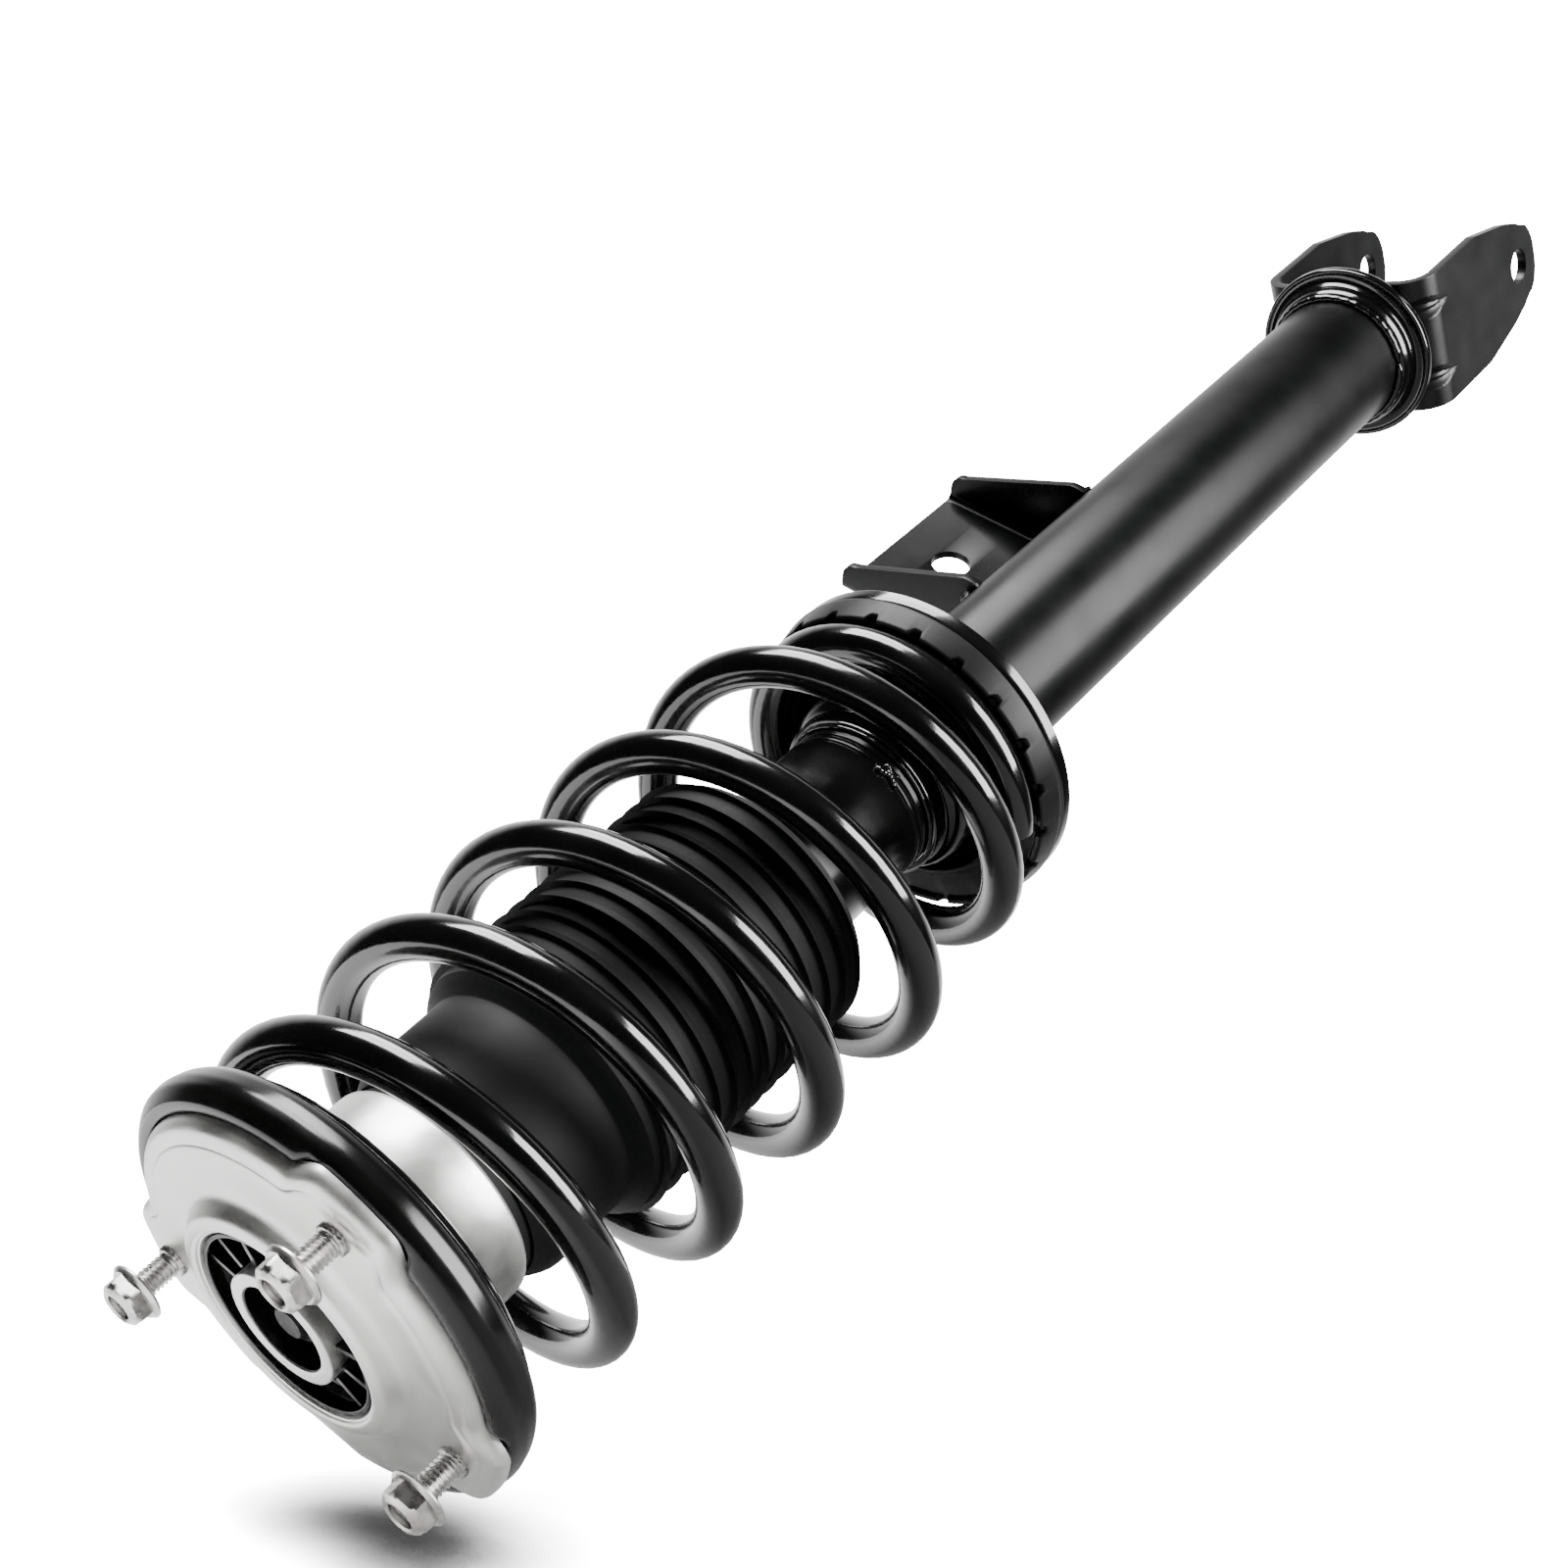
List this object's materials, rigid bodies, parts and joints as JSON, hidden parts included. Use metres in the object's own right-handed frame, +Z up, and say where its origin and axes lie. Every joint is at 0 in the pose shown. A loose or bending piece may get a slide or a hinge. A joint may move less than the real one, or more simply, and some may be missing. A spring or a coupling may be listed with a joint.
{
  "type": "strut assembly",
  "caption": "Coil-over suspension strut: twin-tube damper in a coil spring, rubber-bushed plate with threaded studs on top, welded fork foot and side link bracket below.",
  "frame": {"origin": "on the strut's axis, in the flat top face of the mounting plate", "axes": "+Z up the strut's axis, out of the top mount; X along the bolt through the fork's two ears"},
  "size_m": [0.1518, 0.1404, 0.7381],
  "materials": {
    "satin_steel": "satin pressed steel, zinc coated",
    "zinc_plate": "bright zinc plate",
    "gloss_black_paint": "gloss black paint",
    "boot_rubber": "satin moulded rubber",
    "black_rubber": "satin rubber",
    "buffer_foam": "cellular foam, matte",
    "hard_chrome": "ground and hard chromed",
    "sintered_iron": "sintered, fine grained",
    "shim_steel": "rolled spring steel",
    "low_friction_plastic": "filled low-friction plastic"
  },
  "bodies": {
    "top_mount": {"upper_mount_plate": "satin_steel", "stud_1": "zinc_plate", "stud_2": "zinc_plate", "stud_3": "zinc_plate", "bush_can": "satin_steel", "mount_bush": "black_rubber", "bush_sleeve": "satin_steel", "upper_spring_isolator": "black_rubber", "coil_spring": "gloss_black_paint", "jounce_cup": "satin_steel", "bump_stop": "buffer_foam", "dust_boot": "boot_rubber", "piston_rod": "hard_chrome", "rod_washer_lower": "zinc_plate", "rod_washer_upper": "zinc_plate", "rod_nut": "zinc_plate", "piston_nut": "zinc_plate", "piston": "sintered_iron", "piston_band": "low_friction_plastic", "rebound_shims": "shim_steel", "compression_shims": "shim_steel", "rebound_stop": "low_friction_plastic"},
    "damper": {"reserve_tube": "gloss_black_paint", "inner_tube": "zinc_plate", "rod_guide": "sintered_iron", "oil_seal": "black_rubber", "foot_valve": "sintered_iron", "base_cap": "gloss_black_paint", "tube_cap": "gloss_black_paint", "lower_spring_seat": "gloss_black_paint", "lower_spring_isolator": "black_rubber", "link_bracket": "gloss_black_paint", "fork_bracket": "gloss_black_paint", "fork_collar": "gloss_black_paint"},
    "nut_1": {"nut_1": "zinc_plate"},
    "nut_2": {"nut_2": "zinc_plate"},
    "nut_3": {"nut_3": "zinc_plate"}
  },
  "joints": [
    {"name": "strut_stroke", "type": "slide", "parent": "top_mount", "child": "damper", "axis": [0, 0, 1], "range_m": [0, 0.0935], "stiffness_N_per_m": 45000, "springref_m": -0.004, "deforming": ["coil_spring", "dust_boot"]},
    {"name": "nut_1_travel", "type": "slide", "parent": "top_mount", "child": "nut_1", "axis": [0, 0, 1], "range_m": [-0.011, 0]},
    {"name": "nut_2_travel", "type": "slide", "parent": "top_mount", "child": "nut_2", "axis": [0, 0, 1], "range_m": [-0.011, 0]},
    {"name": "nut_3_travel", "type": "slide", "parent": "top_mount", "child": "nut_3", "axis": [0, 0, 1], "range_m": [-0.011, 0]}
  ]
}
